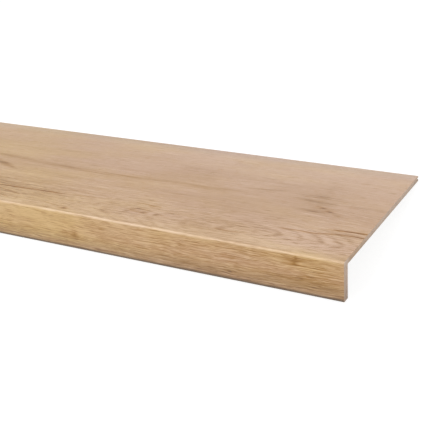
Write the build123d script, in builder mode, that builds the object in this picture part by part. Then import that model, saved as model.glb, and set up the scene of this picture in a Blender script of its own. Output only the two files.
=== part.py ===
"""A renovation stair tread: a thin board whose front edge turns down into a thicker nose.

It is glued over a worn stair step. The underside of the board lies on the old step, and the back
of the nose hangs against its front edge. Board and nose are a single piece with an L-shaped
section that is the same along its whole length.

It is laid out as it lies on a level floor, unheld and with its walking surface up: on the heel of
its nose and on the lower edge of its back, so the walking surface slopes down to the back.
X runs along the nose, Y from the nose to the back and Z up. The origin is on the floor, in the
middle of the space that the tread takes up.
"""

import os
from math import atan2, degrees

from build123d import *

# Outer sizes, in millimetres
tread_length = 1000.0
tread_depth = 300.0
nose_height = 56.0
board_thickness = 8.0
nose_thickness = 13.0

# Edges of the section
nosing_radius = 3.0
nose_lip_radius = 2.0
sawn_edge_radius = 0.5
back_bevel = 0.6

# Groove along the back edge, for the tongue of a board that makes the tread deeper
groove_height = 2.5
groove_depth = 6.0

# Where the section's corners are, with the front foot of the nose at the section's origin
underside_height = nose_height - board_thickness
nosing_corner = (0, nose_height)
nose_lip_corner = (0, 0)
heel_corner = (nose_thickness, 0)
inner_corner = (nose_thickness, underside_height)
back_lower_corner = (tread_depth, underside_height)
back_upper_corner = (tread_depth, nose_height)

# The heel and the back lower edge have the same radius, so the line that touches both of them
# has the slope of the line from corner to corner.
lying_angle = degrees(
    atan2(
        back_lower_corner[1] - heel_corner[1],
        back_lower_corner[0] - heel_corner[0],
    )
)


def corner_near(corner):
    """The vertex of the section being drawn that stands at this corner."""
    return section.vertices().sort_by_distance(corner)[0]


# The section as it sits on a step: depth to the right, height up
with BuildSketch() as section:
    with BuildLine() as outline:
        Polyline(
            nose_lip_corner,
            heel_corner,
            inner_corner,
            back_lower_corner,
            back_upper_corner,
            nosing_corner,
            close=True,
        )
    make_face()
    fillet(corner_near(nosing_corner), nosing_radius)
    fillet(corner_near(nose_lip_corner), nose_lip_radius)
    fillet([corner_near(heel_corner), corner_near(back_lower_corner)], sawn_edge_radius)
    chamfer(corner_near(back_upper_corner), back_bevel)
    with Locations((tread_depth, nose_height - board_thickness / 2)):
        Rectangle(
            groove_depth,
            groove_height,
            align=(Align.MAX, Align.CENTER),
            mode=Mode.SUBTRACT,
        )

# The section's plane is turned until heel and back edge are level, then set down on the floor.
turned = section.sketch.rotate(Axis.Z, -lying_angle).bounding_box()
lying_plane = Plane(
    origin=(-tread_length / 2, -turned.center().X, -turned.min.Y),
    x_dir=Vector(0, 1, 0).rotate(Axis.X, -lying_angle),
    z_dir=(1, 0, 0),
)

# The whole tread, as long as the section is extruded
with BuildPart() as tread:
    with BuildSketch(lying_plane):
        add(section.sketch)
    extrude(amount=tread_length)
tread.part.label = "tread"

os.makedirs("parts", exist_ok=True)
export_step(tread.part, "parts/tread.step")

size = tread.part.bounding_box().size
print(f"lying angle {lying_angle:.3f} degrees, box {size.X:.2f} x {size.Y:.2f} x {size.Z:.2f} mm")
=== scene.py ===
"""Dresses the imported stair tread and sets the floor, the light and the photo's camera.

The tread keeps its shape. One finely rounded piece stands for its node: oak decor on the faces
that are seen on the stairs, bare fibreboard where the board was sawn, and a plain backing sheet.
"""

from math import atan2, cos, hypot, pi, radians, sin

import bmesh
import bpy
from mathutils import Matrix, Vector


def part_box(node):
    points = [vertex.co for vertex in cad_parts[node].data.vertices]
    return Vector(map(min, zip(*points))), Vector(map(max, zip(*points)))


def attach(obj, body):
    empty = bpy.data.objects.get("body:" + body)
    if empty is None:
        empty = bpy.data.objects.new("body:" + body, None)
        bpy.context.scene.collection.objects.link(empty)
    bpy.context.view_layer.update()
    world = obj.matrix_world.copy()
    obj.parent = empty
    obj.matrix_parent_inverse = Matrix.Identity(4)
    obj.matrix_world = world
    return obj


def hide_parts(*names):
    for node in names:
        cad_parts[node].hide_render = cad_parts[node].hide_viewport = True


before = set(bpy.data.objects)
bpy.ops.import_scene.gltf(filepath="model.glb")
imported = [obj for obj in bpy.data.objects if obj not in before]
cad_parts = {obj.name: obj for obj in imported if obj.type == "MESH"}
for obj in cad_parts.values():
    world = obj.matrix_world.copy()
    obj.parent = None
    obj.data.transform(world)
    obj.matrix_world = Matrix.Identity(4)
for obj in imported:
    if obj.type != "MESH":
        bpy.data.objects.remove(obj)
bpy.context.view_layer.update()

# The tread's place and length come from the frame. The section's sizes are the part's, in metres.
TREAD_LOW, TREAD_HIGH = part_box("tread")
LENGTH = round(TREAD_HIGH.x - TREAD_LOW.x, 6)
HALF_LENGTH = LENGTH / 2
DEPTH = 0.300
NOSE_HEIGHT = 0.056
BOARD = 0.008
NOSE = 0.013
NOSING_RADIUS = 0.003
LIP_RADIUS = 0.002
SAWN_RADIUS = 0.0005
BACK_BEVEL = 0.0006
GROOVE_HEIGHT = 0.0025
GROOVE_DEPTH = 0.006
END_BEVEL = 0.0002

UNDERSIDE = NOSE_HEIGHT - BOARD
MID_BOARD = NOSE_HEIGHT - BOARD / 2

# The tread lies on its heel and on its back lower edge, so it leans back by this angle.
LEAN = atan2(UNDERSIDE, DEPTH - NOSE)

# How finely the rounds are divided, and the length
NOSING_STEPS = 14
LIP_STEPS = 10
SAWN_STEPS = 5
LENGTH_STEPS = 20

# A narrow face beside each round keeps the round's shading off the flat, and edges sharper than
# this many degrees stay sharp.
HOLD = 0.0004
SHARP_FROM = 25

DECOR, CORE, BACKING = range(3)


# The section


def arc(centre, radius, start, end, steps):
    """Points along an arc, from start to end in degrees."""
    points = []
    for i in range(steps + 1):
        angle = radians(start + (end - start) * i / steps)
        points.append((centre[0] + radius * cos(angle), centre[1] + radius * sin(angle)))
    return points


def section_runs():
    """The outline as (material, points) runs, from the back edge over the top and round."""
    r, lip, sawn = NOSING_RADIUS, LIP_RADIUS, SAWN_RADIUS
    top, back = NOSE_HEIGHT, DEPTH
    decor = [(back - BACK_BEVEL, top), (r + HOLD, top)]
    decor += arc((r, top - r), r, 90, 180, NOSING_STEPS)
    decor += [(0, top - r - HOLD), (0, lip + HOLD)]
    decor += arc((lip, lip), lip, 180, 270, LIP_STEPS)
    foot = [(lip, 0), (lip + HOLD, 0), (NOSE - sawn - HOLD, 0)]
    foot += arc((NOSE - sawn, sawn), sawn, 270, 360, SAWN_STEPS)
    backing = [(NOSE, sawn), (NOSE, sawn + HOLD), (NOSE, UNDERSIDE)]
    backing += [(back - sawn - HOLD, UNDERSIDE), (back - sawn, UNDERSIDE)]
    edge = arc((back - sawn, UNDERSIDE + sawn), sawn, 270, 360, SAWN_STEPS)
    low, high = MID_BOARD - GROOVE_HEIGHT / 2, MID_BOARD + GROOVE_HEIGHT / 2
    edge += [(back, UNDERSIDE + sawn + HOLD), (back, low), (back - GROOVE_DEPTH, low)]
    edge += [(back - GROOVE_DEPTH, high), (back, high), (back, top - BACK_BEVEL)]
    edge.append((back - BACK_BEVEL, top))
    return [(DECOR, decor), (CORE, foot), (BACKING, backing), (CORE, edge)]


def outline_of(runs):
    """Corner points of the closed outline, and the material of the face after each."""
    points, kinds = [], []
    for kind, run in runs:
        for point in run[:-1]:
            points.append(point)
            kinds.append(kind)
    return points, kinds


def inset(points, amount):
    """The outline moved inwards by amount, mitred at its corners. It runs anticlockwise."""
    moved = []
    for i, (u, v) in enumerate(points):
        before, after = points[i - 1], points[(i + 1) % len(points)]
        first = Vector((u - before[0], v - before[1])).normalized()
        second = Vector((after[0] - u, after[1] - v)).normalized()
        inward = Vector((-first.y - second.y, first.x + second.x))
        reach = amount * 2 / max(inward.length_squared, 0.5)
        moved.append((u + inward.x * reach, v + inward.y * reach))
    return moved


def leaned(point):
    """A point of the section turned by the lean: y and z."""
    u, v = point
    return u * cos(LEAN) + v * sin(LEAN), v * cos(LEAN) - u * sin(LEAN)


outline, outline_kinds = outline_of(section_runs())
turned = [leaned(point) for point in outline]
Y_SHIFT = TREAD_LOW.y - min(y for y, z in turned)
Z_SHIFT = TREAD_LOW.z - min(z for y, z in turned)


def in_row(x, point):
    """A point of the section at x, in the row's frame."""
    y, z = leaned(point)
    return Vector((x, y + Y_SHIFT, z + Z_SHIFT))


# The bake layout: how large each strip is drawn in the unit square, and where it starts.
# The decor lies in two halves above each other, the other long faces beside it, the ends below.
DECOR_ALONG, DECOR_ACROSS = 1.28, 1.26
DECOR_MARGIN = 0.003
LEFT_ROW, RIGHT_ROW = 0.089, 0.544
OTHER_ALONG, OTHER_ACROSS = 0.90, 0.88
OTHER_START = (0.665, 0.0918)
OTHER_FIRST = 0.355
CAP_SCALE = 1.28
CAP_START, CAP_STEP = (0.02, 0.006), 0.48
# The bevel at each end is drawn wider than it is, so that it gets pixels of its own.
END_WIDENED = 0.0015

# On the unrolled surface the other long faces lie this far along from the decor and the ends.
OTHER_AWAY = 2.0


# The mesh


def layout_of(kind, x, s, left):
    """Where a point of the long faces goes in the bake layout."""
    if abs(x) == HALF_LENGTH:
        x += END_WIDENED * (1 if x > 0 else -1)
    if kind == DECOR:
        along = (x + HALF_LENGTH if left else x) + DECOR_MARGIN
        return along * DECOR_ALONG, (LEFT_ROW if left else RIGHT_ROW) + s * DECOR_ACROSS
    start_u, start_v = OTHER_START
    across = (s - OTHER_FIRST) * OTHER_ACROSS
    return start_u + across, start_v + (x + HALF_LENGTH) * OTHER_ALONG


def stations_along():
    """Where the section is repeated along the length, with one at each end's bevel."""
    inner = HALF_LENGTH - END_BEVEL
    cuts = [-HALF_LENGTH + LENGTH * i / LENGTH_STEPS for i in range(1, LENGTH_STEPS)]
    return [-HALF_LENGTH, -inner, *cuts, inner, HALF_LENGTH]


def cut_ends(mesh):
    """Cuts the two many-sided end faces into triangles with no slivers."""
    work = bmesh.new()
    work.from_mesh(mesh)
    ends = [face for face in work.faces if len(face.verts) > 4]
    bmesh.ops.triangulate(work, faces=ends, ngon_method="BEAUTY")
    work.to_mesh(mesh)
    work.free()


def build_tread():
    """The tread as one closed mesh, with its unrolled surface and its bake layout as UV maps."""
    count = len(outline)
    stations = stations_along()
    narrow = inset(outline, END_BEVEL)
    vertices = []
    for x in stations:
        ring = narrow if abs(x) == HALF_LENGTH else outline
        vertices += [in_row(x, point) for point in ring]

    # Distance along the outline from its start at the back, and where the nosing's round starts
    along = [0.0]
    for i in range(count):
        u, v = outline[i]
        next_u, next_v = outline[(i + 1) % count]
        along.append(along[-1] + hypot(next_u - u, next_v - v))
    nosing_start = outline[0][0] - NOSING_RADIUS

    faces, kinds, surface, layout = [], [], [], []
    for j in range(len(stations) - 1):
        here, there = stations[j], stations[j + 1]
        left = here + there < 0
        for i in range(count):
            k = (i + 1) % count
            kind = outline_kinds[i]
            faces.append([j * count + i, j * count + k, (j + 1) * count + k, (j + 1) * count + i])
            kinds.append(kind)
            for x, s in ((here, along[i]), (here, along[i + 1]), (there, along[i + 1]), (there, along[i])):
                surface.append((x, nosing_start - s) if kind == DECOR else (x + OTHER_AWAY, s))
                layout.append(layout_of(kind, x, s, left))
    last = (len(stations) - 1) * count
    caps = [list(reversed(range(count))), [last + i for i in range(count)]]
    for side, cap in enumerate(caps):
        faces.append(cap)
        kinds.append(CORE)
        for index in cap:
            u, v = narrow[index % count]
            surface.append((u, v))
            start_u, start_v = CAP_START
            layout.append((start_u + CAP_STEP * side + u * CAP_SCALE, start_v + v * CAP_SCALE))

    mesh = bpy.data.meshes.new("tread_board")
    mesh.from_pydata(vertices, [], faces)
    for name, values in (("Surface", surface), ("OFBake", layout)):
        layer = mesh.uv_layers.new(name=name)
        layer.data.foreach_set("uv", [number for pair in values for number in pair])
    mesh.uv_layers["Surface"].active_render = True
    mesh.polygons.foreach_set("material_index", kinds)
    mesh.polygons.foreach_set("use_smooth", [True] * len(faces))
    mesh.set_sharp_from_angle(angle=radians(SHARP_FROM))
    cut_ends(mesh)
    mesh.validate()
    mesh.update()
    board = bpy.data.objects.new("tread_board", mesh)
    bpy.context.scene.collection.objects.link(board)
    return board


# Materials

# A trail's curve gives 0 to 1, which stands for this span of places back from the nosing.
TRAIL_LOW, TRAIL_SPAN = -0.060, 0.360
# Trails with a greater half width, in millimetres, are soft bands and the others are lines.
BROAD = 4


class Wiring:
    """Adds shader nodes to a material or a world and joins them up."""

    def __init__(self, owner):
        owner.use_nodes = True
        self.owner = owner
        self.tree = owner.node_tree
        self.tree.nodes.clear()

    def put(self, kind, **settings):
        """A new node with these settings."""
        node = self.tree.nodes.new("ShaderNode" + kind)
        for name, value in settings.items():
            setattr(node, name, value)
        return node

    def feed(self, socket, value):
        """Gives a socket a link or a plain value."""
        if isinstance(value, bpy.types.NodeSocket):
            self.tree.links.new(value, socket)
        else:
            socket.default_value = value

    def calc(self, operation, *values, clamp=False):
        """One step of arithmetic."""
        node = self.put("Math", operation=operation, use_clamp=clamp)
        for socket, value in zip(node.inputs, values):
            self.feed(socket, value)
        return node.outputs[0]

    def add(self, *values):
        """The sum of all the values."""
        total = values[0]
        for value in values[1:]:
            total = self.calc("ADD", total, value)
        return total

    def times(self, a, b):
        """The product of two values."""
        return self.calc("MULTIPLY", a, b)

    def more(self, total, value, factor):
        """The total with factor times the value added."""
        return self.calc("MULTIPLY_ADD", value, factor, total)

    def centred(self, value):
        """A noise from 0 to 1 moved to lie about 0."""
        return self.calc("SUBTRACT", value, 0.5)

    def spread(self, value, low, high, to_low=0.0, to_high=1.0, smooth=True):
        """The value's way from low to high turned into one from to_low to to_high."""
        node = self.put("MapRange", interpolation_type="SMOOTHSTEP" if smooth else "LINEAR")
        for socket, number in zip(node.inputs, (value, low, high, to_low, to_high)):
            self.feed(socket, number)
        return node.outputs[0]

    def split(self, vector):
        """The first two parts of a vector."""
        node = self.put("SeparateXYZ")
        self.feed(node.inputs[0], vector)
        return node.outputs[0], node.outputs[1]

    def join(self, x, y):
        """A flat vector from its two parts."""
        node = self.put("CombineXYZ")
        self.feed(node.inputs[0], x)
        self.feed(node.inputs[1], y)
        return node.outputs[0]

    def surface(self):
        """The unrolled surface's own coordinates, in metres."""
        return self.put("UVMap", uv_map="Surface").outputs[0]

    def noise(self, vector, scale, detail=2.0, roughness=0.5, distortion=0.0, seed=0.0):
        """Noise from 0 to 1, with its own count of cells per metre along each axis."""
        node = self.put("Mapping", vector_type="POINT")
        self.feed(node.inputs["Vector"], vector)
        node.inputs["Scale"].default_value = (*scale, 1.0)[:3]
        node.inputs["Location"].default_value = (seed, seed * 1.7, 0.0)
        flat = len(scale) == 2
        texture = self.put("TexNoise", noise_dimensions="2D" if flat else "3D")
        self.feed(texture.inputs["Vector"], node.outputs[0])
        texture.inputs["Scale"].default_value = 1.0
        texture.inputs["Detail"].default_value = detail
        texture.inputs["Roughness"].default_value = roughness
        texture.inputs["Distortion"].default_value = distortion
        return texture.outputs["Fac"]

    def spot(self, vector, x, s, half_x, half_s, slope=0.0):
        """A soft elliptic spot from 1 in its middle to 0 at its rim. Places in millimetres."""
        node = self.put("Mapping", vector_type="TEXTURE")
        self.feed(node.inputs["Vector"], vector)
        node.inputs["Location"].default_value = (HALF_LENGTH - x / 1000, s / 1000, 0.0)
        node.inputs["Rotation"].default_value = (0.0, 0.0, radians(slope))
        node.inputs["Scale"].default_value = (half_x / 1000, half_s / 1000, 1.0)
        sphere = self.put("TexGradient", gradient_type="QUADRATIC_SPHERE")
        self.feed(sphere.inputs["Vector"], node.outputs[0])
        return sphere.outputs["Fac"]

    def trail(self, x, s, half, fade, path):
        """A soft line along a path: 1 in its middle, 0 at its sides. Places in millimetres."""
        curve = self.put("FloatCurve")
        points = curve.mapping.curves[0].points
        stops = [(along / 1000, (back / 1000 - TRAIL_LOW) / TRAIL_SPAN) for along, back in path]
        stops.sort()
        while len(points) < len(stops):
            points.new(0.5, 0.5)
        for point, stop in zip(points, stops):
            point.location = stop
        curve.mapping.update()
        from_end = self.calc("SUBTRACT", HALF_LENGTH, x)
        self.feed(curve.inputs["Value"], from_end)
        middle = self.calc("MULTIPLY_ADD", curve.outputs[0], TRAIL_SPAN, TRAIL_LOW)
        off = self.calc("ABSOLUTE", self.calc("SUBTRACT", s, middle))
        # It tapers where it starts and stops, but runs off an end of the tread at full width.
        first, last, run = stops[0][0], stops[-1][0], fade / 1000
        reach = half / 1000
        if first > 0:
            reach = self.times(self.spread(from_end, first, first + run), reach)
        if last < LENGTH:
            reach = self.times(self.spread(from_end, last, last - run), reach)
        inside = self.calc("SUBTRACT", reach, off)
        return self.spread(inside, 0.0, half / (1000 if half > BROAD else 1250))

    def ramp(self, value, stops):
        """A colour ramp through (place, colour) stops."""
        node = self.put("ValToRGB")
        while len(node.color_ramp.elements) < len(stops):
            node.color_ramp.elements.new(0.5)
        for element, (place, colour) in zip(node.color_ramp.elements, stops):
            element.position = place
            element.color = (*colour, 1.0)
        self.feed(node.inputs[0], value)
        return node.outputs["Color"]

    def mix(self, factor, a, b, blend="MIX"):
        """Two colours mixed, or blended in another way."""
        node = self.put("Mix", data_type="RGBA", blend_type=blend)
        for socket, value in ((node.inputs[0], factor), (node.inputs[6], a), (node.inputs[7], b)):
            if isinstance(value, tuple):
                value = (*value, 1.0)
            self.feed(socket, value)
        return node.outputs[2]

    def glazed(self, factor, colour, glaze):
        """The colour seen through a thin glaze, as far as the factor goes."""
        return self.mix(factor, colour, self.mix(1.0, colour, glaze, "MULTIPLY"))

    def looked_at(self):
        """1 where the camera, a mirror or glass looks, and 0 for other light."""
        path = self.put("LightPath")
        direct = self.calc("MAXIMUM", path.outputs["Is Camera Ray"], path.outputs["Is Glossy Ray"])
        return self.calc("MAXIMUM", direct, path.outputs["Is Transmission Ray"])

    def finish(self, colour, roughness, height, depth):
        """The surface shader, with bump from height over the given depth in metres."""
        shader = self.put("BsdfPrincipled")
        bump = self.put("Bump")
        bump.inputs["Strength"].default_value = 1.0
        bump.inputs["Distance"].default_value = depth
        self.feed(bump.inputs["Height"], height)
        self.feed(shader.inputs["Base Color"], colour)
        self.feed(shader.inputs["Roughness"], roughness)
        self.feed(shader.inputs["Normal"], bump.outputs[0])
        output = self.put("OutputMaterial")
        self.feed(output.inputs["Surface"], shader.outputs[0])
        return self.owner


# Places on the decor are in millimetres: from the right end, and back from where the nosing's
# round meets the top, so they are below 0 on the nose. Below 0, a darkness is paleness.

# Marks that follow a path: half width, fade at the ends and darkness, then the path
TRAILS = (
    (
        11.0, 90, 0.25,
        (
            (1000, 176), (900, 172), (800, 168), (700, 163), (636, 157), (590, 150),
            (542, 147), (476, 145), (372, 148), (300, 150), (180, 153),
        ),
    ),
    (11.0, 70, 0.42, ((800, 152), (730, 146), (676, 135), (640, 123.5), (612, 113), (572, 103))),
    (2.8, 40, 0.56, ((760, 34), (680, 41), (606, 47), (550, 50), (500, 51.5), (440, 53))),
    (2.2, 20, 0.20, ((462, 53), (430, 56), (396, 58))),
    (3.0, 80, 0.36, ((158, 60), (80, 60), (62, 61.5), (46, 66), (0, 68))),
    (3.2, 44, 0.46, ((76, 75), (52, 77.5), (0, 81))),
    (3.4, 50, -0.13, ((650, 104), (575, 97.5), (500, 98.5), (440, 96), (345, 101), (320, 103))),
    (5.0, 120, 0.12, ((1000, 92), (900, 88), (800, 84), (690, 82))),
    (3.0, 100, 0.22, ((1000, 226), (930, 222), (860, 221), (760, 216))),
    (3.4, 90, 0.20, ((1000, 62), (940, 60), (850, 54), (780, 48))),
    (2.6, 90, 0.22, ((1000, 122), (900, 117), (820, 116), (740, 112))),
    (3.0, 25, -0.09, ((118, 111), (70, 112), (36, 109))),
    (2.2, 30, 0.22, ((620, 46), (576, 38), (545, 31), (514, 23))),
    (2.2, 30, 0.26, ((650, 30), (584, 22), (556, 16), (520, 8))),
    (2.0, 10, 0.30, ((482, 19), (458, 15), (440, 12))),
    (1.8, 8, 0.34, ((346, 42), (335, 45), (320, 45.5), (304, 43))),
    (1.8, 8, 0.34, ((344, 41), (330, 37), (315, 36.5), (302, 40))),
    (2.2, 10, 0.32, ((348, 61), (330, 64), (312, 61), (294, 62))),
    (2.6, 16, 0.26, ((204, 28), (186, 26), (166, 27), (140, 33))),
)
# Broad soft shades: place, half length, half width, slope in degrees, darkness
BANDS = (
    (440, 172, 290, 6, 0, 0.10),
    (100, 152, 78, 46, 0, 0.23),
    (510, 113, 110, 14, 0, 0.16),
    (330, 117, 120, 10, 0, 0.08),
    (150, 196, 270, 70, 0, 0.14),
    (98, 195, 18, 60, 0, 0.09),
    (250, 84, 110, 8, 8, 0.05),
    (120, 10, 170, 20, 0, -0.34),
    (360, 12, 280, 16, 0, -0.16),
    # Partly the decor's own tone and partly painted shade: the nose darker towards the right end.
    (40, -30, 260, 44, 0, 0.22),
    (560, 45, 300, 60, 0, 0.17),
    (500, 8, 240, 18, 0, 0.12),
    (580, 16, 110, 14, 0, 0.12),
    (300, 110, 620, 70, 0, 0.10),
    (610, 132, 240, 46, 0, 0.14),
    (250, 158, 130, 40, 0, 0.10),
    (24, 68, 100, 26, 0, 0.16),
    (28, 4, 90, 18, 0, 0.10),
    (56, 27, 74, 16, 8, -0.12),
    (150, 24, 200, 13, 0, -0.12),
    (656, 150, 50, 12, 0, 0.18),
    (60, 161, 90, 9, 0, 0.14),
    (578, 14, 40, 16, -20, 0.20),
    (30, -34, 130, 50, 0, 0.08),
    (300, 270, 700, 70, 0, -0.10),
    # Painted shade: the lower nose darker towards the lip.
    (60, -64, 460, 40, 0, 0.36),
    (400, -64, 380, 36, 0, 0.28),
    (520, -12, 240, 12, 0, -0.14),
    (150, 37, 60, 18, 13, 0.03),
)
# Short dark marks and pale dashes, in the same terms
STREAKS = (
    (292, 22, 30, 8.0, 0, 0.32),
    (240, 24, 30, 8.0, -10, 0.12),
    (408, 37, 18, 4.0, -8, 0.40),
    (372, 48, 14, 5.0, 30, 0.35),
    (104, 174, 50, 9.0, 0, 0.34),
    (110, 158, 50, 8.5, -4, 0.38),
    (82, 156, 20, 8.0, 0, 0.16),
    (108, 166, 18, 3.5, 8, -0.20),
    (102, 149, 12, 3.5, 10, -0.18),
    (98, 112, 20, 4.5, 0, -0.22),
    (110, 134, 16, 5.0, 0, -0.14),
    (68, 146, 13, 8.0, 0, -0.14),
    (94, 125, 40, 9.0, 0, 0.42),
    (60, 123, 32, 8.0, -30, 0.26),
    (188, 172, 58, 8.0, 8, 0.30),
    (5, 156, 26, 7.0, 0, 0.30),
    (33, 157, 32, 8.5, 6, 0.24),
    (490, 167, 26, 6.0, 0, 0.24),
    (568, 166, 18, 4.0, 0, 0.20),
    (383, 166, 14, 4.0, 0, 0.18),
    (152, 104, 12, 5.0, 0, 0.22),
    (128, 85, 12, 4.0, 20, 0.22),
    (205, 80, 32, 5.0, 12, 0.24),
    (47, 192, 8, 6.0, 0, 0.24),
    (170, 228, 20, 5.0, 25, 0.18),
    (105, 230, 16, 7.0, 0, 0.20),
    (58, 241, 12, 6.0, 0, 0.16),
    (12, 221, 14, 4.0, 10, 0.45),
    (325, 213, 44, 8.0, 0, 0.18),
    (297, 205, 16, 12.0, 0, 0.18),
    (570, 212, 80, 10.0, 0, 0.12),
    (40, -26, 70, 1.4, 1, 0.20),
    (180, -18, 60, 1.2, -1, 0.16),
)
# Knots: place, half length, half width, darkness
KNOTS = (
    (85, 138, 9, 5.6, 0.78),
    (94, 142, 6, 2.6, 0.40),
    (72, 130, 9, 3.6, 0.75),
    (434, 9, 10, 7.0, 1.30),
    (410, -34, 11, 14.0, 0.60),
    (66, -15, 10, 7.5, 0.90),
    (64, -6, 3, 6.0, 0.40),
)
# Where the oak is pinker, or yellower below 0: place, half length, half width, amount
TINTS = (
    (420, 195, 420, 170, 0.85),
    (40, 2, 120, 44, -0.80),
    (620, 255, 320, 90, 0.40),
    (330, 32, 110, 36, 0.70),
    (130, 222, 260, 90, -0.34),
)

# The oak's colour from its palest to its darkest
OAK_STEPS = (
    (0.0, (0.625, 0.417, 0.227)),
    (0.25, (0.507, 0.304, 0.144)),
    (0.5, (0.414, 0.227, 0.084)),
    (0.75, (0.300, 0.138, 0.026)),
    (1.0, (0.165, 0.064, 0.008)),
)
# Its darkness where nothing darkens it
OAK_LEVEL = 0.22
YELLOWER, PINKER = (1.01, 1.02, 0.85), (0.99, 0.987, 1.20)
BROWN_GLAZE = (1.0, 0.96, 0.82)
LOW_NOSE_GLAZE = (1.0, 1.0, 0.89)
# The second grey paints shade on the lower nose.
BACK_GREY, NOSE_GREY = (0.33, 0.31, 0.36), (0.27, 0.235, 0.24)
# The first paints a highlight along the nosing, and the second paints shade under the lip.
NOSING_HIGHLIGHT_PAINT, LIP_SHADE_PAINT = (0.74, 0.55, 0.38), (0.125, 0.093, 0.068)

# How far the grain strays, in metres: slowly and finely across, finely at the marks, and along
WANDER, RIPPLE, MARK_RIPPLE, DRIFT = 0.016, 0.0055, 0.0045, 0.022

# The growth rings: the eye they close round, the pith's depth below it and how fast the board
# leaves it on both sides, the farthest left that the cut still bends, and the rings' spacing
EYE_FROM_END, EYE_BACK = 0.148, 0.036
PITH_DEPTH, PITH_FALL, PITH_BEND = 0.020, 0.0112, 20
CUT_REACH, CUT_EASE = -0.24, 0.06
RING_GAP = 0.0051
# How far a knot pushes the rings aside, in metres
RING_PUSH = 0.0035
# How many times as long and as wide as a knot its heart, its halo and the bend round it are
KNOT_HEART, KNOT_HALO, KNOT_BEND = (1, 1), (2.2, 1.6), (5, 2.6)

# Where the decor changes, in metres back from where the round meets the top: start and end
TURN = (0.0, -0.006)
FINE_FADES = (0.035, 0.120)
GREY_BACK = (0.262, 0.292)
# The paler line along the nosing between these places is a painted highlight.
HIGHLIGHT_TOP, HIGHLIGHT_FOOT = (0.0002, -0.0010), (-0.0052, -0.0036)
# Below these places the lower nose is darker and greyer with painted shade.
DARK_NOSE, GREY_NOSE = (-0.025, -0.040), (-0.028, -0.050)
GLAZE_TOP, GLAZE_FOOT = (-0.030, -0.038), (-0.051, -0.047)
# Below this the lip's underside is darkened with painted shade.
LIP_EDGE = (-0.0520, -0.0556)


class Run:
    """Coordinates of the decor in metres: plain, and as the grain wanders and ripples."""

    def __init__(self, w):
        self.flat = w.surface()
        self.x, self.s = w.split(self.flat)
        wander = w.centred(w.noise(self.flat, (2.4, 10), 2, 0.5, 0.2, 3.1))
        ripple = w.centred(w.noise(self.flat, (15, 60), 3, 0.6, 0.0, 7.7))
        drift = w.centred(w.noise(self.flat, (11, 45), 3, 0.6, 0.0, 1.3))
        self.along = w.add(self.x, w.times(drift, DRIFT))
        self.across = w.add(self.s, w.add(w.times(wander, WANDER), w.times(ripple, RIPPLE)))
        self.wandering = w.join(self.along, self.across)
        self.rippled = w.more(self.s, ripple, MARK_RIPPLE)
        self.placed = w.join(self.x, self.rippled)


def knot_spot(w, run, knot, times):
    """A soft spot on a knot, so many times as long and as wide as it."""
    x, s, half_x, half_s = knot[:4]
    return w.spot(run.placed, x, s, half_x * times[0], half_s * times[1])


def growth_rings(w, run):
    """The cut growth rings, from 0 between them to 1 on them."""
    # The board is cut past the pith: nearest to it at the eye, so the rings close round it.
    past_eye = w.calc("SUBTRACT", run.along, HALF_LENGTH - EYE_FROM_END)
    past_eye = w.calc("SMOOTH_MAX", past_eye, CUT_REACH, CUT_EASE)
    bow = w.calc("SQRT", w.add(w.calc("POWER", w.times(past_eye, PITH_BEND), 2), 1))
    height = w.calc("MULTIPLY_ADD", w.calc("SUBTRACT", bow, 1), PITH_FALL, PITH_DEPTH)
    tilted = w.add(run.across, w.spread(run.along, 0.29, 0.41, 0.009, -0.006))
    aside = w.calc("SUBTRACT", tilted, EYE_BACK)
    radius = w.calc("SQRT", w.add(w.times(aside, aside), w.times(height, height)))
    for knot in KNOTS:
        radius = w.more(radius, knot_spot(w, run, knot, KNOT_BEND), -RING_PUSH)
    uneven = w.noise(run.flat, (1.2, 36), 1, 0.5, 0.0, 9.2)
    turns = w.calc("MULTIPLY_ADD", radius, 1 / RING_GAP, w.times(uneven, 1.1))
    wave = w.calc("SINE", w.times(turns, 2 * pi))
    return w.calc("POWER", w.calc("MULTIPLY_ADD", wave, 0.5, 0.5), 2.4)


def ring_strength(w, run, flake):
    """How plainly the rings show: at the eye, beside the right end, and broken farther left."""
    right = w.spot(run.wandering, 116, 36, 160, 56)
    outer = w.spot(run.wandering, 34, 42, 76, 46)
    left = w.spot(run.wandering, 300, 34, 150, 50)
    broken = w.spread(w.noise(run.flat, (16, 70), 2, 0.5, 0.0, 21.0), 0.42, 0.62)
    patchy = w.spread(w.noise(run.flat, (4, 22), 2, 0.5, 0.0, 5.5), 0.35, 0.70)
    shown = w.add(w.times(right, 0.38), w.times(outer, 0.26), w.times(w.times(left, broken), 0.40))
    return w.times(w.add(shown, w.times(patchy, 0.10), 0.04), flake)


def fine_grain(w, run, fibre, hair, pore, on_nose):
    """The finest grain: strong near the nosing, and fainter towards the back."""
    thread = w.noise(run.wandering, (10, 900), 3, 0.65, 0.0, 14.2)
    limed = w.spread(w.noise(run.wandering, (44, 1300), 1, 0.5, 0.0, 17.3), 0.56, 0.72)
    fine = w.times(w.centred(fibre), w.spread(on_nose, 0.0, 1.0, 0.62, 0.34))
    fine = w.more(fine, w.centred(thread), w.times(on_nose, 0.62))
    fine = w.more(fine, w.centred(hair), 0.72)
    fine = w.more(fine, pore, 0.22)
    fine = w.more(fine, limed, w.spread(on_nose, 0.0, 1.0, -0.10, -0.22))
    crisp = w.spread(run.s, *FINE_FADES, 1.85, 0.58)
    return w.times(fine, w.times(crisp, w.spread(run.s, TURN[1], TURN[0], 0.84, 1.0)))


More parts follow.
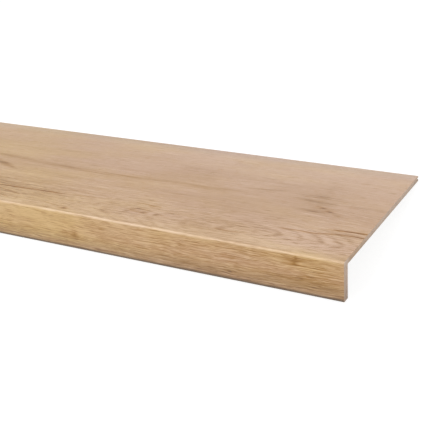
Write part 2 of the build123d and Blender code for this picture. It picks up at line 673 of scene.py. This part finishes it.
def marked(w, run, dark, fibrous, steady):
    """The darkness with all the placed marks in it, and how brown the narrow ones are."""
    stain = 0.0
    for half, fade, amount, path in TRAILS:
        broad = half > BROAD
        line = w.trail(run.x, run.rippled, half, fade, path)
        dark = w.more(dark, w.times(line, fibrous if broad else steady), amount)
        if amount > 0:
            stain = w.more(stain, line, (0.6 if broad else 2) * amount)
    for *place, amount in BANDS:
        dark = w.more(dark, w.times(w.spot(run.placed, *place), fibrous), amount * 1.2)
    for *place, amount in STREAKS:
        dark = w.more(dark, w.times(w.spot(run.placed, *place), steady), amount)
    for knot in KNOTS:
        amount = knot[-1]
        halo = knot_spot(w, run, knot, KNOT_HALO)
        heart = knot_spot(w, run, knot, KNOT_HEART)
        stain = w.more(stain, halo, 0.6)
        dark = w.more(dark, halo, amount * 0.20)
        dark = w.more(dark, heart, amount * 0.6)
    return dark, stain


def painted_nosing_highlight(w, run):
    """A painted highlight: a fleck-edged paler line along the nosing, weaker towards the right end."""
    sway = w.centred(w.noise(run.flat, (14, 1), 2, 0.5, 0.0, 30.0))
    swaying = w.more(run.s, sway, 0.0020)
    nosing_highlight = w.times(w.spread(swaying, *HIGHLIGHT_TOP), w.spread(swaying, *HIGHLIGHT_FOOT))
    flecks = w.noise(run.flat, (26, 200), 2, 0.6, 0.0, 33.0)
    nosing_highlight = w.times(nosing_highlight, w.spread(flecks, 0.34, 0.56, 0.55, 1.20))
    return w.times(nosing_highlight, w.spread(run.x, 0.15, 0.50, 1.0, 0.60))


def oak_colour(w, run, level, on_nose):
    """The oak's colour for its darkness, yellower or pinker from place to place."""
    tint = w.spread(w.noise(run.flat, (5, 16), 3, 0.6, 0.0, 12.5), 0.30, 0.70, 0.22, 0.78)
    tint = w.more(tint, on_nose, -0.30)
    tint = w.add(tint, w.spread(run.x, -0.15, 0.45, -0.38, 0.42))
    tint = w.add(tint, w.spread(level, 0.40, 0.75, 0.0, -0.50))
    for *place, amount in TINTS:
        tint = w.more(tint, w.spot(run.flat, *place), amount)
    tint = w.calc("ADD", tint, 0.0, clamp=True)
    return w.mix(1.0, w.ramp(level, OAK_STEPS), w.mix(tint, YELLOWER, PINKER), "MULTIPLY")


def oak_decor():
    """The printed oak: growth rings round an eye, bands, streaks, knots, pores and fibre, with painted
    shade on the lower nose and under the lip and a painted highlight along the nosing.
    """
    w = Wiring(bpy.data.materials.new("oak_decor"))
    run = Run(w)
    on_nose = w.spread(run.s, *TURN)
    flake = w.noise(run.wandering, (34, 420), 2, 0.6, 0.0, 11.0)
    flake = w.spread(flake, 0.30, 0.64, 0.35, 1.25)
    fibre = w.noise(run.wandering, (8, 420), 3, 0.62, 0.1, 2.0)
    hair = w.noise(run.wandering, (30, 1000), 2, 0.6, 0.0, 4.4)
    pore = w.spread(w.noise(run.wandering, (60, 1500), 1, 0.5, 0.0, 8.1), 0.58, 0.74)
    cloud = w.centred(w.noise(run.flat, (3.2, 13), 3, 0.55, 0.3, 6.3))
    ring = growth_rings(w, run)
    nosing_highlight = painted_nosing_highlight(w, run)
    lip = w.spread(run.s, *LIP_EDGE)

    dark = w.times(cloud, w.spread(run.s, 0.0, 0.06, 0.85, 0.42))
    dark = w.more(dark, ring, ring_strength(w, run, flake))
    dark = w.add(dark, fine_grain(w, run, fibre, hair, pore, on_nose))
    # Broad marks are broken up by the fibre, and narrow ones only a little by the flakes.
    fibrous = w.spread(fibre, 0.30, 0.66, 0.35, 1.25, smooth=False)
    steady = w.spread(flake, 0.35, 1.25, 0.75, 1.20, smooth=False)
    dark, stain = marked(w, run, dark, fibrous, steady)
    # Painted highlight: the line along the nosing is paler.
    dark = w.more(dark, nosing_highlight, -0.28)
    # Painted shade: the lower nose is darker.
    dark = w.add(dark, w.spread(run.s, *DARK_NOSE, 0.0, 0.12))
    level = w.calc("ADD", dark, OAK_LEVEL, clamp=True)

    colour = oak_colour(w, run, level, on_nose)
    colour = w.glazed(w.calc("MULTIPLY", stain, 1.0, clamp=True), colour, BROWN_GLAZE)
    # The back edge is greyer, the lower nose is darker and greyer with painted shade, and the lip's
    # underside is dark with painted shade.
    colour = w.mix(w.spread(run.s, *GREY_BACK, 0.0, 0.17), colour, BACK_GREY)
    colour = w.mix(w.spread(run.s, *GREY_NOSE, 0.0, 0.20), colour, NOSE_GREY)
    low_nose = w.times(w.spread(run.s, *GLAZE_TOP), w.spread(run.s, *GLAZE_FOOT))
    colour = w.glazed(low_nose, colour, LOW_NOSE_GLAZE)
    # The painted highlight along the nosing is paler in colour too.
    colour = w.mix(w.times(nosing_highlight, 0.45), colour, NOSING_HIGHLIGHT_PAINT)
    # Painted shade on the lip's underside.
    colour = w.mix(w.times(lip, 0.86), colour, LIP_SHADE_PAINT)

    rough = w.add(0.24, w.times(fibre, 0.10), w.times(pore, 0.12), w.times(lip, 0.6))
    rough = w.more(rough, w.calc("MINIMUM", stain, 1.0), 0.25)
    relief = w.add(w.times(hair, 0.25), w.times(pore, -0.9), w.times(ring, -0.15))
    relief = w.add(relief, w.times(fibre, 0.3))
    return w.finish(colour, rough, relief, 0.00006)


CORE_STEPS = (
    (0.32, (0.29, 0.205, 0.155)),
    (0.5, (0.45, 0.338, 0.260)),
    (0.68, (0.60, 0.465, 0.355)),
)
CORE_GLAZE = (1.0, 0.90, 0.72)


def fibreboard():
    """Sawn fibreboard. Its ends are paler towards the top, and darker at the foot with painted shade."""
    w = Wiring(bpy.data.materials.new("fibreboard_core"))
    back, up = w.split(w.surface())
    place = w.put("TexCoord").outputs["Object"]
    speckle = w.noise(place, (2600, 2600, 2600), 3, 0.65, 0.0, 1.0)
    fibre = w.noise(place, (500, 500, 1500), 3, 0.6, 0.3, 2.0)
    mottle = w.noise(place, (60, 60, 60), 2, 0.5, 0.0, 3.0)
    # Painted shade: the ends darken towards the foot.
    foot_shade = w.spread(up, 0.030, 0.0, 0.0, -0.12)
    pressed = w.spread(up, UNDERSIDE, NOSE_HEIGHT, -0.05, 0.06, smooth=False)
    leg = w.spread(back, 0.020, 0.013, 0.0, 0.035)
    # The end is browner behind the nose than farther back.
    brown = w.times(w.spread(back, 0.010, 0.022), w.spread(back, 0.115, 0.035))
    tone = w.add(w.times(speckle, 0.45), w.times(fibre, 0.35), w.times(mottle, 0.20))
    tone = w.more(w.add(tone, foot_shade, pressed, leg), brown, -0.07)
    colour = w.glazed(w.times(brown, 0.7), w.ramp(tone, CORE_STEPS), CORE_GLAZE)
    relief = w.add(w.times(speckle, 0.5), w.times(fibre, 0.5))
    rough = w.calc("MULTIPLY_ADD", fibre, 0.15, 0.72)
    return w.finish(colour, rough, relief, 0.00008)


BACKING_STEPS = ((0.3, (0.43, 0.345, 0.25)), (0.7, (0.56, 0.47, 0.36)))


def backing_sheet():
    """The plain counter sheet under the board and behind the nose."""
    w = Wiring(bpy.data.materials.new("backing_sheet"))
    flat = w.surface()
    cloud = w.noise(flat, (9, 14), 3, 0.6, 0.2, 5.0)
    pulp = w.noise(flat, (380, 620), 3, 0.6, 0.0, 6.0)
    tone = w.add(w.times(cloud, 0.5), w.times(pulp, 0.5))
    rough = w.calc("MULTIPLY_ADD", pulp, 0.12, 0.50)
    return w.finish(w.ramp(tone, BACKING_STEPS), rough, pulp, 0.00003)


# Floor, light and camera

FLOOR_HALF = 4.0
FLOOR_COLOUR = (0.80, 0.80, 0.79, 1.0)
WHITE = (1.0, 1.0, 1.0, 1.0)
# Near the tread the floor's look is part glow and part shaded, and far from it all glow.
NEAR_GLOW = 0.84
NEAR_SHADED = (0.27, 0.27, 0.27)
FADE_START, FADE_END = 0.9, 1.6

AMBIENT = 0.50
# Lamps: name, bearing, elevation, distance, width, height, brightness
LAMPS = (
    ("key", -50, 62, 2.5, 2.4, 0.9, 5.0),
    ("fill", 0, 22, 2.6, 1.6, 1.0, 1.6),
    ("side", 80, 20, 2.0, 1.0, 1.0, 3.0),
    ("sheen", 178, 14, 2.8, 2.6, 0.8, 0.6),
)


def build_floor():
    """A plain pale floor that goes white for the camera and keeps the tread's shadow."""
    half = FLOOR_HALF
    corners = [(-half, -half, 0), (half, -half, 0), (half, half, 0), (-half, half, 0)]
    mesh = bpy.data.meshes.new("floor")
    mesh.from_pydata(corners, [], [(0, 1, 2, 3)])
    floor = bpy.data.objects.new("floor", mesh)
    bpy.context.scene.collection.objects.link(floor)
    w = Wiring(bpy.data.materials.new("pale_floor"))
    plain = w.put("BsdfDiffuse")
    plain.inputs["Color"].default_value = FLOOR_COLOUR
    shaded = w.put("BsdfDiffuse")
    glow = w.put("Emission")
    glow.inputs["Color"].default_value = WHITE
    distance = w.put("VectorMath", operation="LENGTH")
    w.feed(distance.inputs[0], w.put("TexCoord").outputs["Object"])
    far = w.spread(distance.outputs["Value"], FADE_START, FADE_END)
    w.feed(glow.inputs["Strength"], w.calc("MULTIPLY_ADD", far, 1 - NEAR_GLOW, NEAR_GLOW))
    w.feed(shaded.inputs["Color"], w.mix(far, NEAR_SHADED, (0.0, 0.0, 0.0)))
    both = w.put("AddShader")
    w.feed(both.inputs[0], shaded.outputs[0])
    w.feed(both.inputs[1], glow.outputs[0])
    seen = w.put("MixShader")
    w.feed(seen.inputs[0], w.looked_at())
    w.feed(seen.inputs[1], plain.outputs[0])
    w.feed(seen.inputs[2], both.outputs[0])
    output = w.put("OutputMaterial")
    w.feed(output.inputs["Surface"], seen.outputs[0])
    mesh.materials.append(w.owner)


def build_world():
    """White to look at, and a plainer soft light all round."""
    world = bpy.data.worlds.new("studio")
    bpy.context.scene.world = world
    w = Wiring(world)
    background = w.put("Background")
    background.inputs["Color"].default_value = WHITE
    strength = w.spread(w.looked_at(), 0.0, 1.0, AMBIENT, 1.0, smooth=False)
    w.feed(background.inputs["Strength"], strength)
    output = w.put("OutputWorld")
    w.feed(output.inputs[0], background.outputs[0])


def add_lamp(name, bearing, elevation, distance, wide, high, brightness):
    """A soft lamp aimed at the tread. Bearing 0 is in front and 90 on the right."""
    lamp = bpy.data.lights.new(name, "AREA")
    lamp.shape = "RECTANGLE"
    lamp.size = wide
    lamp.size_y = high
    lamp.energy = brightness * pi * wide * high
    holder = bpy.data.objects.new(name, lamp)
    bpy.context.scene.collection.objects.link(holder)
    turn, rise = radians(bearing), radians(elevation)
    toward = Vector((sin(turn) * cos(rise), -cos(turn) * cos(rise), sin(rise)))
    holder.location = toward * distance
    holder.rotation_euler = (-toward).to_track_quat("-Z", "Y").to_euler()
    holder.visible_camera = False


# The photo's camera, fitted with the tread seated level: its origin is the nose's front bottom
# corner at the right end. Angles in radians, place in metres, focal length in pixels of the photo.
PHOTO_PIXELS = 424
CAMERA_FOCAL = 906.041
CAMERA_YAW = 0.529743
CAMERA_PITCH = 0.415026
CAMERA_ROLL = 0.068198
CAMERA_OFFSET = (0.16319323, 0.11232764, 1.11949167)
SENSOR = 36.0


def build_camera():
    """Sets the fitted camera in the row's frame, in which the tread leans back."""
    level_run = cos(CAMERA_PITCH)
    forward = Vector(
        (-sin(CAMERA_YAW) * level_run, cos(CAMERA_YAW) * level_run, -sin(CAMERA_PITCH))
    )
    level = Vector((cos(CAMERA_YAW), sin(CAMERA_YAW), 0.0))
    down = forward.cross(level)
    right = level * cos(CAMERA_ROLL) + down * sin(CAMERA_ROLL)
    down = down * cos(CAMERA_ROLL) - level * sin(CAMERA_ROLL)
    offset = Vector(CAMERA_OFFSET)
    place = -(right * offset.x + down * offset.y + forward * offset.z)
    lean = Matrix.Rotation(-LEAN, 3, "X")
    axes = [lean @ axis for axis in (right, -down, -forward)]
    camera = bpy.data.cameras.new("photo_camera")
    camera.sensor_width = SENSOR
    camera.lens = SENSOR * CAMERA_FOCAL / PHOTO_PIXELS
    camera.clip_start = 0.01
    holder = bpy.data.objects.new("photo_camera", camera)
    bpy.context.scene.collection.objects.link(holder)
    turn = Matrix(axes).transposed().to_4x4()
    turn.translation = in_row(HALF_LENGTH + place.x, (place.y, place.z))
    holder.matrix_world = turn
    bpy.context.scene.camera = holder


board = build_tread()
for make in (oak_decor, fibreboard, backing_sheet):
    board.data.materials.append(make())
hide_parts("tread")
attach(board, "root")

build_floor()
build_world()
for lamp in LAMPS:
    add_lamp(*lamp)
build_camera()
bpy.context.scene.view_settings.view_transform = "Standard"
